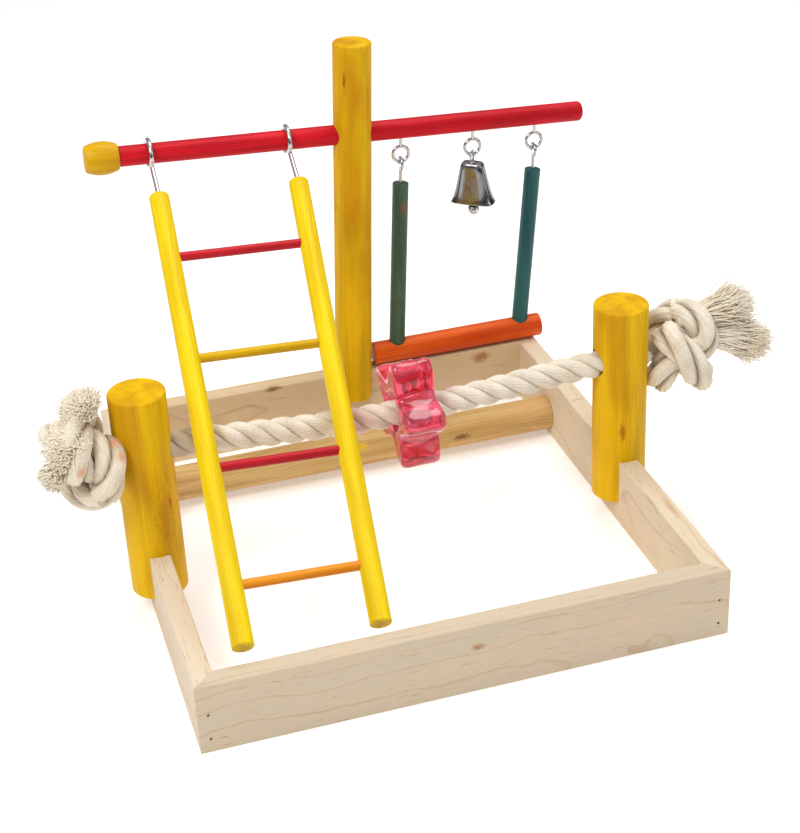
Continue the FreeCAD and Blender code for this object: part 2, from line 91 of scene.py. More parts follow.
# the room is bright overhead and dim near the horizon, which gives the plating its dark bands
horizon_grey = (0.10, 0.10, 0.11, 1)
overhead_white = (1.0, 1.0, 1.0, 1)
room_strength = 0.6
world = bpy.data.worlds.new("studio_daylight")
world.use_nodes = True
sky_place = add_node(world.node_tree, "TexCoord")
sky_height = add_node(world.node_tree, "SeparateXYZ", links={0: sky_place.outputs["Generated"]})
sky = add_node(world.node_tree, "ValToRGB", links={0: sky_height.outputs[2]})
sky.color_ramp.elements[0].position = 0.12
sky.color_ramp.elements[0].color = horizon_grey
sky.color_ramp.elements[1].position = 0.62
sky.color_ramp.elements[1].color = overhead_white
world.node_tree.links.new(sky.outputs[0], world.node_tree.nodes["Background"].inputs["Color"])
world.node_tree.nodes["Background"].inputs["Strength"].default_value = room_strength
bpy.context.scene.world = world
# stains as strong and paper as white as the photograph's
bpy.context.scene.view_settings.view_transform = "Standard"


def middle_of(node_name):
    """The middle of a CAD node's box."""
    low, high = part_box(node_name)
    return (Vector(low) + Vector(high)) / 2


base_middle = Vector((0, middle_of("left_rail").y, 0))     # of the frame, on the floor
lamp_aim = Vector((0, 0, 0.1))


def soft_lamp(name, place, power, size):
    """A large square lamp, placed from the middle of the base frame and aimed at the stand.

    power is in watts and size is the lamp's side in metres.
    """
    lamp = bpy.data.objects.new(name, bpy.data.lights.new(name, "AREA"))
    lamp.data.energy = power
    lamp.data.size = size
    lamp.location = base_middle + Vector(place)
    lamp.rotation_euler = (lamp_aim - Vector(place)).to_track_quat("-Z", "Y").to_euler()
    bpy.context.collection.objects.link(lamp)


soft_lamp("key_lamp", (-1.0, -0.6, 1.5), 16, 0.7)
soft_lamp("top_lamp", (0.5, 0.4, 1.7), 13, 1.0)
soft_lamp("fill_lamp", (1.4, -1.0, 0.9), 3.6, 0.8)

# the camera's place and turn were fitted to the frame's corners, the posts and the bar
camera_place = Vector((-0.2796, -1.0302, 0.7121))     # from the middle of the base frame
camera_right = Vector((0.9564, -0.2883, -0.0471)).normalized()
camera_back = Vector((-0.2319, -0.8473, 0.4778)).normalized()
camera_up = camera_back.cross(camera_right).normalized()
camera_turn = Matrix((camera_right, camera_up, camera_back)).transposed().to_4x4()
camera = bpy.data.objects.new("photo_camera", bpy.data.cameras.new("photo_camera"))
camera.data.lens = 77.3
camera.data.sensor_width = 36
camera.data.shift_x = 0.0177
camera.data.shift_y = -0.0430
camera.matrix_world = Matrix.Translation(base_middle + camera_place) @ camera_turn
bpy.context.collection.objects.link(camera)
bpy.context.scene.camera = camera

# --- Pine base frame ------------------------------------------------------------------------
# Four planed pine strips, 50 x 14 mm, mitred and nailed. The growth rings of the boards show
# as long brown lines and arches, with a dark knot near the middle of the back rail.
MM = 0.001
pine_ring = 8 * MM          # a coarse, fast-grown ring
pine_late_wood = "AC835E"
pine_patch = "D8BFA2"

# sizes of the figure, the same in every piece of wood here
waver_size = 71.4 * MM      # length over which the rings wander
waver_depth = 11 * MM       # and how far
fibre_length, fibre_width = 45.5 * MM, 1.11 * MM
streak_length, streak_width = 111 * MM, 6.25 * MM
patch_length, patch_width = 83.3 * MM, 22.2 * MM
pore_length, pore_width = 14.3 * MM, 0.667 * MM
mark_edge = 2.38 * MM       # raggedness of a knot's or a chip's edge


def wood_place(tree, direction, middle):
    """Object coordinates turned so that X runs along the grain, through the piece's middle."""
    turn = Vector(direction).rotation_difference(Vector((1, 0, 0)))
    shift = -(turn @ Vector(middle))
    coords = add_node(tree, "TexCoord")
    mapped = add_node(tree, "Mapping", {"Location": shift, "Rotation": turn.to_euler()},
                      {"Vector": coords.outputs["Object"]})
    return coords.outputs["Object"], mapped.outputs[0]


def wood_material(name, light, dark, direction, middle, ring=2.2 * MM, pith=(0, 0.006, 0.004),
                  tilt=0.04, contrast=0.5, blotch=None, blotch_amount=0.4, marks=(),
                  roughness=0.5, coat=0.0, pores=0.35, ring_share=0.16, late_wood=1.0,
                  streaks=0.9):
    """Wood with growth rings round a tilted pith, long fibres, pores, and marks such as knots.

    direction is the grain's. ring is the spacing of the rings, and pith is how far their
    middle lies from the piece's. ring_share and streaks say how much rings and streaks darken
    the wood, and late_wood above 1 narrows the dark part of each ring. blotch is a second
    tone that lies in long soft patches. A mark is a place, a radius, how many times longer it
    is along the grain, and a colour. Planed wood is half matt, and a thin coat lies on what
    has been stained.
    """
    material, tree, shader = new_material(name, roughness, Coat_Weight=coat, Coat_Roughness=0.35,
                                          Specular_IOR_Level=0.12)
    plain, grain = wood_place(tree, direction, middle)
    waver = add_node(tree, "TexNoise", {"Scale": 1 / waver_size, "Detail": 2.0}, {"Vector": grain})
    bent = add_node(tree, "VectorMath", {3: waver_depth}, {0: waver.outputs["Color"]},
                    operation="SCALE")
    bent = add_node(tree, "VectorMath", links={0: grain, 1: bent.outputs[0]}, operation="ADD")
    rings_at = add_node(tree, "Mapping", {"Location": pith, "Rotation": (0, tilt, tilt * 0.6)},
                        {"Vector": bent.outputs[0]})
    rings = add_node(tree, "TexWave", {"Scale": math.pi / (10 * ring), "Distortion": 0.6,
                                       "Detail": 1.0, "Detail Scale": 1.5},
                     {"Vector": rings_at.outputs[0]},
                     wave_type="RINGS", rings_direction="X", wave_profile="SAW")
    late = add_node(tree, "Math", {1: late_wood}, {0: rings.outputs[1]}, operation="POWER")
    long_fibre = add_node(tree, "Mapping", {"Scale": (1 / fibre_length, 1 / fibre_width,
                                                      1 / fibre_width)}, {"Vector": grain})
    fibre = add_node(tree, "TexNoise", {"Scale": 1.0, "Detail": 4.0, "Roughness": 0.6},
                     {"Vector": long_fibre.outputs[0]})
    streak_at = add_node(tree, "Mapping", {"Scale": (1 / streak_length, 1 / streak_width,
                                                     1 / streak_width)}, {"Vector": grain})
    streak = add_node(tree, "TexNoise", {"Scale": 1.0, "Detail": 3.0},
                      {"Vector": streak_at.outputs[0]})
    depth = add_node(tree, "Math", {1: ring_share, 2: 0.275 - ring_share / 2}, {0: late.outputs[0]},
                     operation="MULTIPLY_ADD")
    depth = add_node(tree, "Math", {1: 0.30}, {0: fibre.outputs[0], 2: depth.outputs[0]},
                     operation="MULTIPLY_ADD")
    depth = add_node(tree, "Math", {1: streaks}, {0: streak.outputs[0], 2: depth.outputs[0]},
                     operation="MULTIPLY_ADD")
    tone = add_node(tree, "MapRange", {1: 0.74, 2: 1.04, 3: 0.0, 4: contrast},
                    {0: depth.outputs[0]})
    colour = add_node(tree, "Mix", {6: linear(light), 7: linear(dark)}, {0: tone.outputs[0]},
                      data_type="RGBA").outputs[2]
    if blotch:
        patch_at = add_node(tree, "Mapping", {"Scale": (1 / patch_length, 1 / patch_width,
                                                        1 / patch_width)}, {"Vector": grain})
        patch = add_node(tree, "TexNoise", {"Scale": 1.0, "Detail": 2.0},
                         {"Vector": patch_at.outputs[0]})
        patch = add_node(tree, "MapRange", {1: 0.47, 2: 0.72, 3: 0.0, 4: blotch_amount},
                         {0: patch.outputs[0]})
        colour = add_node(tree, "Mix", {7: linear(blotch)}, {0: patch.outputs[0], 6: colour},
                          data_type="RGBA").outputs[2]
    pore_at = add_node(tree, "Mapping", {"Scale": (1 / pore_length, 1 / pore_width,
                                                   1 / pore_width)}, {"Vector": grain})
    pore = add_node(tree, "TexNoise", {"Scale": 1.0, "Detail": 2.0}, {"Vector": pore_at.outputs[0]})
    pore = add_node(tree, "MapRange", {1: 0.66, 2: 0.72, 3: 0.0, 4: pores}, {0: pore.outputs[0]})
    colour = add_node(tree, "Mix", {7: linear(dark)}, {0: pore.outputs[0], 6: colour},
                      data_type="RGBA").outputs[2]
    for place, radius, stretch, tint in marks:
        turn = Vector(direction).rotation_difference(Vector((1, 0, 0)))
        centre = turn @ (Vector(place) - Vector(middle))
        near = add_node(tree, "Mapping", {"Location": (-centre.x / stretch, -centre.y, -centre.z),
                                          "Scale": (1 / stretch, 1, 1)}, {"Vector": grain})
        gap = add_node(tree, "VectorMath", links={0: near.outputs[0]}, operation="LENGTH")
        ragged = add_node(tree, "TexNoise", {"Scale": 1 / mark_edge, "Detail": 2.0},
                          {"Vector": plain})
        gap = add_node(tree, "Math", {1: radius}, {0: ragged.outputs[0], 2: gap.outputs[1]},
                       operation="MULTIPLY_ADD")
        amount = add_node(tree, "MapRange", {1: radius * 0.8, 2: radius * 1.5, 3: 0.85, 4: 0.0},
                          {0: gap.outputs[0]})
        colour = add_node(tree, "Mix", {7: linear(tint)}, {0: amount.outputs[0], 6: colour},
                          data_type="RGBA").outputs[2]
    tree.links.new(colour, shader.inputs["Base Color"])
    bump = add_node(tree, "Bump", {"Strength": 0.35, "Distance": 0.12 * MM},
                    {"Height": fibre.outputs[0]})
    tree.links.new(bump.outputs[0], shader.inputs["Normal"])
    return material


def finish_node(node_name, material):
    """Gives a CAD node its material."""
    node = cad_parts[node_name]
    for slot in node.material_slots:
        slot.material = material
    if not node.material_slots:
        node.data.materials.append(material)


front_knot = ((0.0035, base_middle.y - 0.180, 0.034), 3.0 * MM, 1.8, "A9794A")
back_top_knot = ((-0.043, base_middle.y + 0.166, 0.0487), 2.8 * MM, 3, "8A5A33")
back_right_knot = ((0.128, base_middle.y + 0.166, 0.043), 6.0 * MM, 1.6, "A9713F")
right_knot_streak = ((0.170, base_middle.y - 0.100, 0.048), 3.5 * MM, 5, "B98A58")
along_front, along_side = (1, 0, 0), (0, 1, 0)
pine_boards = {
    # node: early wood, grain, pith from the board's middle, tilt of the pith, marks
    "front_rail": ("CFBEA5", along_front, (0, 0.047, 0.022), 0.035, [front_knot]),
    "back_rail": ("D8C09A", along_front, (0, 0.026, -0.012), 0.030,
                  [back_top_knot, back_right_knot]),
    "left_rail": ("DDCCB3", along_side, (0, 0.022, 0.010), 0.040, []),
    "right_rail": ("DDCCB0", along_side, (0, 0.028, -0.006), 0.050, [right_knot_streak]),
}
for node_name, (light, grain, pith, tilt, marks) in pine_boards.items():
    finish_node(node_name, wood_material(
        "planed_pine_" + node_name, light, pine_late_wood, grain, middle_of(node_name), pine_ring,
        pith, tilt, 0.5, pine_patch, 0.6, marks, 0.62, pores=0.75, ring_share=0.55,
        late_wood=5.0, streaks=0.55))

# --- Nails and staple -----------------------------------------------------------------------
# Steel wire nails, driven below the surface at the corners and through the side rails, and a
# wire staple left in the top of the right rail. All have gone dull and dark.
steel_spot = 1.25 * MM      # size of the brown spots on it


def dull_steel():
    """Bare steel wire gone dull: dark, brown in spots, with hardly a glint."""
    material, tree, shader = new_material("dull_steel_wire", 0.6, "2A2622", Metallic=0.2)
    coords = add_node(tree, "TexCoord")
    spots = add_node(tree, "TexNoise", {"Scale": 1 / steel_spot, "Detail": 3.0},
                     {"Vector": coords.outputs["Object"]})
    tint = add_node(tree, "Mix", {6: linear("1C1917"), 7: linear("3A332C")}, {0: spots.outputs[0]},
                    data_type="RGBA")
    tree.links.new(tint.outputs[2], shader.inputs["Base Color"])
    return material


nail_steel = dull_steel()
for node_name in ("corner_nails", "perch_nails", "rail_staple"):
    finish_node(node_name, nail_steel)

# --- Low natural perch ----------------------------------------------------------------------
# A bare dowel, tan with a browner underside, nailed between the side rails near the back. Its
# front shows a small dark knot and a touch of painted yellow light, bounced on to it from the
# ladder rail.
perch_front = base_middle.y + 0.093
low_perch_knot_and_painted_yellow_light = [((0.0862, perch_front, 0.0178), 3.0 * MM, 3, "6E4A22"),
                   # painted light: a yellow spot standing in for light bounced from the ladder
                   # rail, not a stain
                   ((0.007, base_middle.y + 0.094, 0.025), 5.0 * MM, 1.5, "E3B820")]
finish_node("low_perch", wood_material(
    "bare_tan_dowel", "D6B47A", "A0743A", (1, 0, 0), middle_of("low_perch"), 2.6 * MM,
    (0, 0.009, 0.006), 0.02, 0.6, "C99A5C", 0.5, low_perch_knot_and_painted_yellow_light, 0.55))

# --- Yellow posts ---------------------------------------------------------------------------
# Turned posts in water stain, rubbed and uneven: brighter on the cut tops, browner in long
# patches down the sides. The mast is a thinner dowel of the same finish.
rope_y = middle_of("left_post").y     # both short posts stand on the line of the rope
yellow = "E6B600"
yellow_deep = "A87600"
orange_patch = "BC7C00"
post_marks = {
    "left_post": [((-0.1568, rope_y - 0.0153, 0.0886), 2.2 * MM, 2.5, "C0500F"),
                  ((-0.1618, rope_y - 0.0179, 0.0774), 8.0 * MM, 3.5, "BE8204"),
                  ((-0.1506, rope_y - 0.0077, 0.1013), 1.0 * MM, 7, "8A5A0A")],
    "right_post": [((0.163, rope_y - 0.018, 0.075), 3.0 * MM, 3, "B5560F")],
    "mast": [((0.0280, base_middle.y + 0.1621, 0.2888), 1.2 * MM, 7, "6B4A0A"),
             ((0.0180, base_middle.y + 0.1698, 0.1895), 1.0 * MM, 3, "8A5A0A")],
}
mast_lean = math.radians(3)
mast_direction = (math.sin(mast_lean), 0, math.cos(mast_lean))
for node_name, grain in (("left_post", (0, 0, 1)), ("right_post", (0, 0, 1)),
                         ("mast", mast_direction)):
    finish_node(node_name, wood_material(
        "yellow_stained_" + node_name, yellow, yellow_deep, grain, middle_of(node_name), 2.4 * MM,
        (0, 0.008, 0.005), 0.03, 0.5, orange_patch, 0.75, post_marks[node_name], 0.55, 0.05,
        ring_share=0.1, streaks=0.8))

# --- Rope perch -----------------------------------------------------------------------------
# Three-strand cotton rope, 18.5 mm thick, threaded through both posts and sagging a little
# between them. Each strand is a bundle of soft yarns, twisted against the lay of the rope.
rope_diameter = 18.5 * MM
rope_lay = 46 * MM          # length in which a strand goes once round the rope
strand_diameter = 9.4 * MM
strand_offset = rope_diameter / 2 - strand_diameter / 2
yarns_in_strand = 9
yarn_ridge = 0.05           # height of a yarn's ridge against the strand's radius
yarn_lay = 0.62             # a yarn's turn in its strand, against the strand's turn in the rope
strand_sides = 44
fuzz_size = 1.11 * MM
cloud_size = 18.2 * MM      # of the slow change in tone along the rope
# painted shade for the creases between strands, not a colour of the cotton
painted_crease_shade_brown = "7E6748"
rope_route = [(-0.187, rope_y, 0.1238), (-0.149, rope_y, 0.1238), (-0.008, rope_y, 0.1106),
              (0.149, rope_y, 0.1238), (0.187, rope_y, 0.1238)]


def cotton_material(name, light, dark, crease=0.0, spots=()):
    """Undyed spun cotton: cream yarns, quite matt and soft, with painted shade between the strands.

    crease is the strength of that painted shade, darker and browner where each strand meets its
    neighbours. A spot is a place, a size and a colour.
    """
    material, tree, shader = new_material(name, 0.92, Sheen_Weight=0.25, Sheen_Roughness=0.5)
    along = add_node(tree, "UVMap", uv_map="strand")
    split = add_node(tree, "SeparateXYZ", links={0: along.outputs[0]})
    # yarn bands run round the strand, so they follow v plus a share of the length
    turn = add_node(tree, "Math", {1: 1 / (yarn_lay * rope_lay)}, {0: split.outputs[0]},
                    operation="MULTIPLY")
    around = add_node(tree, "Math", links={0: turn.outputs[0], 1: split.outputs[1]},
                      operation="ADD")
    wave_phase = add_node(tree, "Math", {1: 2 * math.pi * yarns_in_strand * 3},
                          {0: around.outputs[0]}, operation="MULTIPLY")
    fibre = add_node(tree, "Math", links={0: wave_phase.outputs[0]}, operation="SINE")
    place = add_node(tree, "TexCoord")
    fuzz = add_node(tree, "TexNoise", {"Scale": 1 / fuzz_size, "Detail": 3.0},
                    {"Vector": place.outputs["Object"]})
    cloud = add_node(tree, "TexNoise", {"Scale": 1 / cloud_size, "Detail": 2.0},
                     {"Vector": place.outputs["Object"]})
    mixed = add_node(tree, "Math", {1: 0.16, 2: 0.38}, {0: fibre.outputs[0]},
                     operation="MULTIPLY_ADD")
    for share, pattern in ((0.35, fuzz), (0.5, cloud)):
        mixed = add_node(tree, "Math", {1: share}, {0: pattern.outputs[0], 2: mixed.outputs[0]},
                         operation="MULTIPLY_ADD")
    ramp = add_node(tree, "ValToRGB", links={0: mixed.outputs[0]})
    ramp.color_ramp.elements[0].position = 0.45
    ramp.color_ramp.elements[0].color = linear(dark)
    ramp.color_ramp.elements[1].position = 0.95
    ramp.color_ramp.elements[1].color = linear(light)
    colour = ramp.outputs[0]
    # v runs once round the strand from its outer side, so deep places, where strands meet, get
    # painted shade
    depth = add_node(tree, "Math", {1: 2.0, 2: -1.0}, {0: split.outputs[1]},
                     operation="MULTIPLY_ADD")
    depth = add_node(tree, "Math", links={0: depth.outputs[0]}, operation="ABSOLUTE")
    shade = add_node(tree, "MapRange", {1: 0.34, 2: 0.66, 3: crease, 4: 0.0}, {0: depth.outputs[0]},
                     interpolation_type="SMOOTHSTEP")
    colour = add_node(tree, "Mix", {7: linear(painted_crease_shade_brown)}, {0: shade.outputs[0], 6: colour},
                      data_type="RGBA").outputs[2]
    for spot_place, spot_size, tint in spots:
        gap = add_node(tree, "VectorMath", {1: spot_place}, {0: place.outputs["Object"]},
                       operation="DISTANCE")
        spread = add_node(tree, "MapRange", {1: spot_size * 0.3, 2: spot_size, 3: 0.6, 4: 0.0},
                          {0: gap.outputs[1]})
        colour = add_node(tree, "Mix", {7: linear(tint)}, {0: spread.outputs[0], 6: colour},
                          data_type="RGBA").outputs[2]
    tree.links.new(colour, shader.inputs["Base Color"])
    bump = add_node(tree, "Bump", {"Strength": 0.6, "Distance": 0.25 * MM},
                    {"Height": mixed.outputs[0]})
    tree.links.new(bump.outputs[0], shader.inputs["Normal"])
    return material


def mesh_piece(name, points, faces, uvs, material):
    """A smooth mesh object from points, faces and one UV per face corner."""
    mesh = bpy.data.meshes.new(name)
    mesh.from_pydata([tuple(p) for p in points], [], faces)
    layer = mesh.uv_layers.new(name="strand")
    layer.data.foreach_set("uv", np.asarray(uvs, float).ravel())
    mesh.polygons.foreach_set("use_smooth", [True] * len(mesh.polygons))
    mesh.materials.append(material)
    piece = bpy.data.objects.new(name, mesh)
    bpy.context.collection.objects.link(piece)
    return piece


def unit(rows):
    """Each row of an array as a unit vector."""
    return rows / np.maximum(np.linalg.norm(rows, axis=1, keepdims=True), 1e-12)


def line_frames(line, up):
    """Tangents of a line, and across it two directions that turn no more than the line does."""
    tangents = unit(np.gradient(line, axis=0))
    normal = np.asarray(up, float)
    normals = []
    for tangent in tangents:
        normal = normal - tangent * (normal @ tangent)
        normal = normal / np.linalg.norm(normal)
        normals.append(normal)
    normals = np.array(normals)
    return tangents, normals, np.cross(tangents, normals)


def laid_strand(line, up, phase, lay=rope_lay, offset=strand_offset, thickness=strand_diameter):
    """Points, faces and UVs of one strand that winds round a line, closed at both ends."""
    _, normals, sides = line_frames(line, up)
    steps = np.linalg.norm(np.diff(line, axis=0), axis=1)
    length = np.concatenate([[0], np.cumsum(steps)])
    wind = 2 * math.pi * length / lay + phase
    outward = np.cos(wind)[:, None] * normals + np.sin(wind)[:, None] * sides
    middle = line + offset * outward
    tangents = unit(np.gradient(middle, axis=0))
    across = unit(outward - tangents * np.sum(outward * tangents, axis=1, keepdims=True))
    beside = np.cross(tangents, across)
    angle = np.linspace(0, 2 * math.pi, strand_sides, endpoint=False)
    twist = 2 * math.pi * length / (yarn_lay * lay)
    ridges = np.cos(yarns_in_strand * (angle[None, :] + twist[:, None]))
    radius = thickness / 2 * (1 + yarn_ridge * ridges)
    spoke = (np.cos(angle)[None, :, None] * across[:, None, :]
             + np.sin(angle)[None, :, None] * beside[:, None, :])
    points = middle[:, None, :] + radius[:, :, None] * spoke
    count = len(line)
    points = points.reshape(-1, 3)
    faces, uvs = [], []
    for i in range(count - 1):
        for j in range(strand_sides):
            k = (j + 1) % strand_sides
            faces.append((i * strand_sides + j, i * strand_sides + k,
                          (i + 1) * strand_sides + k, (i + 1) * strand_sides + j))
            for row, column in ((i, j), (i, j + 1), (i + 1, j + 1), (i + 1, j)):
                uvs.append((length[row], column / strand_sides))
    for row, order in ((0, -1), (count - 1, 1)):
        cap = [row * strand_sides + j for j in range(strand_sides)][::order]
        faces.append(tuple(cap))
        uvs += [(length[row], 0.0)] * strand_sides
    return points, faces, uvs


def laid_rope(name, line, up, material, lay=rope_lay, start=0.0, swell=1.0):
    """Three strands of one rope as one mesh. swell above 1 draws them thicker and looser."""
    points, faces, uvs = [], [], []
    for index in range(3):
        p, f, u = laid_strand(line, up, start + 2 * math.pi * index / 3, lay, swell * strand_offset,
                              swell * strand_diameter)
        base = sum(len(q) for q in points)
        points.append(p)
        faces += [tuple(base + v for v in face) for face in f]
        uvs += u
    return mesh_piece(name, np.concatenate(points), faces, uvs, material)


def smooth_line(name, points):
    """Points of a quadratic NURBS curve with the given control points."""
    curve = bpy.data.curves.new(name, "CURVE")
    curve.dimensions = "3D"
    spline = curve.splines.new("NURBS")
    spline.points.add(len(points) - 1)
    for point, place in zip(spline.points, points):
        point.co = (*place, 1)
    spline.order_u = 3
    spline.use_endpoint_u = True
    spline.resolution_u = 80
    guide = bpy.data.objects.new(name, curve)
    bpy.context.collection.objects.link(guide)
    bpy.context.view_layer.update()
    depsgraph = bpy.context.evaluated_depsgraph_get()
    mesh = bpy.data.meshes.new_from_object(guide.evaluated_get(depsgraph))
    line = np.array([v.co[:] for v in mesh.vertices])
    bpy.data.objects.remove(guide)
    bpy.data.meshes.remove(mesh)
    return line


# handled grey-brown by the left post, and painted pink light beside the bead, standing in for light
# cast through the clear pink plastic
rope_dirt_and_painted_pink_light = [((-0.142, rope_y - 0.008, 0.122), 22 * MM, "A6947A"),
              # painted pink light from the bead, not a rub mark
              ((-0.024, rope_y - 0.008, 0.116), 16 * MM, "D6A7A0")]
cotton_dark = "B39B76"
# 0.8 is the strength of the painted shade in the creases between strands
cotton = cotton_material("undyed_cotton_rope", "F5ECDB", cotton_dark, 0.8, rope_dirt_and_painted_pink_light)
span_line = smooth_line("rope_route", rope_route)
rope_span = laid_rope("rope_span", span_line, (0, 0, 1), cotton, start=0.9)
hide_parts("rope")
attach(rope_span, "stand")

# --- Knots of the rope ----------------------------------------------------------------------
# An overhand knot pulled tight against the outside of each post, drawn as the closed form of
# that knot with its three strands. The left one has touches of orange dye from the posts.
knot_points = 420
knot_crossings = 3
knot_swell = 1.16           # the strands open a little where the rope is bent hard


def knot_line(centre, ring, weave, stretch, roll, tip, side):
    """Middle line of a tight overhand knot round the X axis, closed on itself.

    ring is from the knot's axis to the middle of the rope, and weave is how far the rope
    leaves that ring, stretch times as far along the axis. roll turns the knot on its axis, in
    radians, tip then turns it about Y and Z, in degrees, and side is -1 for the mirrored knot.
    """
    t = np.linspace(0, 2 * math.pi, knot_points)
    radius = ring + weave * np.cos(knot_crossings * t)
    x = side * stretch * weave * np.sin(knot_crossings * t)
    y = radius * np.cos(2 * t + roll)
    z = radius * np.sin(2 * t + roll)
    turn = (Matrix.Rotation(math.radians(tip[1]), 3, "Z")
            @ Matrix.Rotation(math.radians(tip[0]), 3, "Y"))
    line = np.stack([x, y, z], axis=1) @ np.array(turn).T
    return line + np.array(centre)


orange_dye = "E08A50"
dye_spots = [((-0.1872, rope_y - 0.0145, 0.1400), 6 * MM, orange_dye),
             ((-0.1846, rope_y - 0.0240, 0.1342), 5 * MM, orange_dye),
             ((-0.2114, rope_y - 0.0310, 0.1321), 5 * MM, orange_dye)]
# 0.75 is the strength of the painted shade in the creases between strands
dyed_cotton = cotton_material("cotton_rope_touched_by_orange_dye", "F3E9D6", cotton_dark, 0.75,
                              dye_spots)
knots = (
    # name, node, place, ring, weave, stretch, roll, tip, side, lay of the strands, start, cotton
    ("left_overhand_knot", "rope_knot_left", (-0.2065, rope_y, 0.1270), 18.5 * MM, 9.2 * MM,
     1.15, 3.9, (-8, 14), -1, 78 * MM, 0.0, dyed_cotton),
    ("right_overhand_knot", "rope_knot_right", (0.2120, rope_y, 0.1225), 16.6 * MM, 8.7 * MM,
     1.6, 1.1, (8, 0), 1, 96 * MM, 0.6, cotton),
)
for name, node_name, place, ring, weave, stretch, roll, tip, side, lay, start, material in knots:
    line = knot_line(place, ring, weave, stretch, roll, tip, side)
    knot = laid_rope(name, line, (1, 0, 0), material, lay, start, knot_swell)
    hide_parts(node_name)
    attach(knot, "stand")

# --- Frayed ends ----------------------------------------------------------------------------
# Past each knot the rope is left unlaid: its strands open into brushes of single yarns, short
# and curled on the left, where their cut ends face the front, and longer on the right.
yarn_sides = 5
yarn_rings = 9
golden_angle = math.pi * (3 - math.sqrt(5))     # spreads the yarns evenly over the cut end


def brush(rng, root, tip, start_radius, end_radius, count, thickness, curl, round_end=0.25):
    """Yarns that spread from root to tip, in millimetres with y from the rope's axis.

    curl is how far a yarn wanders by its tip. The outer yarns end sooner by the share
    round_end, so the brush has a rounded end.
    """
    root, tip = (np.array(place) * MM + (0, rope_y, 0) for place in (root, tip))
    way = (tip - root) / np.linalg.norm(tip - root)
    length = np.linalg.norm(tip - root)
    side = unit(np.cross([way], [[0.31, -0.2, 0.93]]))[0]
    over = np.cross(way, side)
    t = np.linspace(0, 1, yarn_rings)[:, None]
    points, faces, uvs = [], [], []
    for index in range(count):
        share = math.sqrt((index + 0.5) / count)
        spin = index * golden_angle + rng.normal(0, 0.12)
        begin = share * start_radius * MM * np.array([math.cos(spin), math.sin(spin)])
        share_end = share * rng.uniform(0.9, 1.08)
        spin_end = spin + rng.normal(0, 0.1)
        end = share_end * end_radius * MM * np.array([math.cos(spin_end), math.sin(spin_end)])
        flat = begin[None, :] + (end - begin)[None, :] * t ** 1.35
        phase = rng.uniform(0, 6.28, 2)
        beat = rng.uniform(4.5, 8.5)
        flat = flat + curl * MM * t * np.stack([np.sin(beat * t[:, 0] + phase[0]),
                                                np.sin(beat * t[:, 0] + phase[1])], axis=1)
        hook = rng.normal(0, 1.0, 2) * curl * MM
        flat = flat + hook * t ** 5
        reach = length * rng.uniform(0.9, 1.0) * (1 - round_end * share ** 2)
        line = root + way * (reach * t) + flat[:, :1] * side + flat[:, 1:] * over
        _, normals, sides = line_frames(line, side)
        angle = np.linspace(0, 2 * math.pi, yarn_sides, endpoint=False)
        width = thickness * MM / 2 * rng.uniform(0.8, 1.15) * (1 - 0.25 * t[:, 0] ** 3)
        ring = (np.cos(angle)[None, :, None] * normals[:, None, :]
                + np.sin(angle)[None, :, None] * sides[:, None, :])
        base = index * yarn_rings * yarn_sides
        points.append((line[:, None, :] + width[:, None, None] * ring).reshape(-1, 3))
        for i in range(yarn_rings - 1):
            for j in range(yarn_sides):
                k = (j + 1) % yarn_sides
                low, high = base + i * yarn_sides, base + (i + 1) * yarn_sides
                faces.append((low + j, low + k, high + k, high + j))
                uvs += [(i * 0.002, j / yarn_sides)] * 4
        for row, order in ((0, -1), (yarn_rings - 1, 1)):
            cap = [base + row * yarn_sides + j for j in range(yarn_sides)][::order]
            faces.append(tuple(cap))
            uvs += [(row * 0.002, 0.0)] * yarn_sides
    return np.concatenate(points), faces, uvs


def frayed_end(name, brushes, material, node_name, seed):
    """The brushes of one rope end as one piece, in place of its CAD stand-in."""
    rng = np.random.default_rng(seed)
    points, faces, uvs = [], [], []
    for settings in brushes:
        p, f, u = brush(rng, *settings)
        base = sum(len(q) for q in points)
        points.append(p)
        faces += [tuple(base + v for v in face) for face in f]
        uvs += u
    piece = mesh_piece(name, np.concatenate(points), faces, uvs, material)
    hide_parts(node_name)
    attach(piece, "stand")


# teased yarn is lighter than laid rope, and has no creases to hold shade
yarn_cotton = cotton_material("frayed_cotton_yarn", "F6EDDC", "DCC8A4")
frayed_end("left_frayed_end", [
    # root, tip (y from the rope), radius at root and tip, yarns, yarn thickness, curl
    ((-207, -4, 133), (-224, -24, 150), 4.5, 15.5, 820, 1.25, 1.3),
    ((-199, 0, 149), (-207, -7, 173), 3.5, 14.5, 760, 0.75, 1.8),
    ((-220, -10, 128), (-236, -24, 124), 3.5, 9.5, 300, 1.25, 1.2),
], yarn_cotton, "rope_tassel_left", 4)
frayed_end("right_frayed_end", [
    ((211, 2, 143), (272, 4, 147), 4.5, 15.5, 700, 0.8, 2.3),
    ((223, -5, 133), (280, -10, 119), 5.0, 13.5, 640, 0.8, 2.3),
    ((223, 8, 126), (272, 20, 124), 4.5, 13.0, 320, 0.8, 2.3),
], yarn_cotton, "rope_tassel_right", 9)

# --- Crossbar -------------------------------------------------------------------------------
# A red-stained dowel through the mast, with the stain thin along some fibres, and a turned
# barrel of wood, stained yellow, pushed on its left end.
bar_direction = (math.cos(mast_lean), 0, -math.sin(mast_lean))     # square to the mast
finish_node("crossbar", wood_material(
    "red_stained_dowel", "D81626", "960A16", bar_direction, middle_of("crossbar"), 1.8 * MM,
    (0, 0.006, 0.004), 0.03, 0.8, "AA0614", 0.6, (), 0.5, 0.06))
finish_node("bar_end_cap", wood_material(
    "yellow_stained_barrel", "DCAD04", "AE7C02", bar_direction, middle_of("bar_end_cap"), 2.0 * MM,
    (0, 0.005, 0.004), 0.05, 0.6, "C48E10", 0.5, (), 0.48, 0.12))

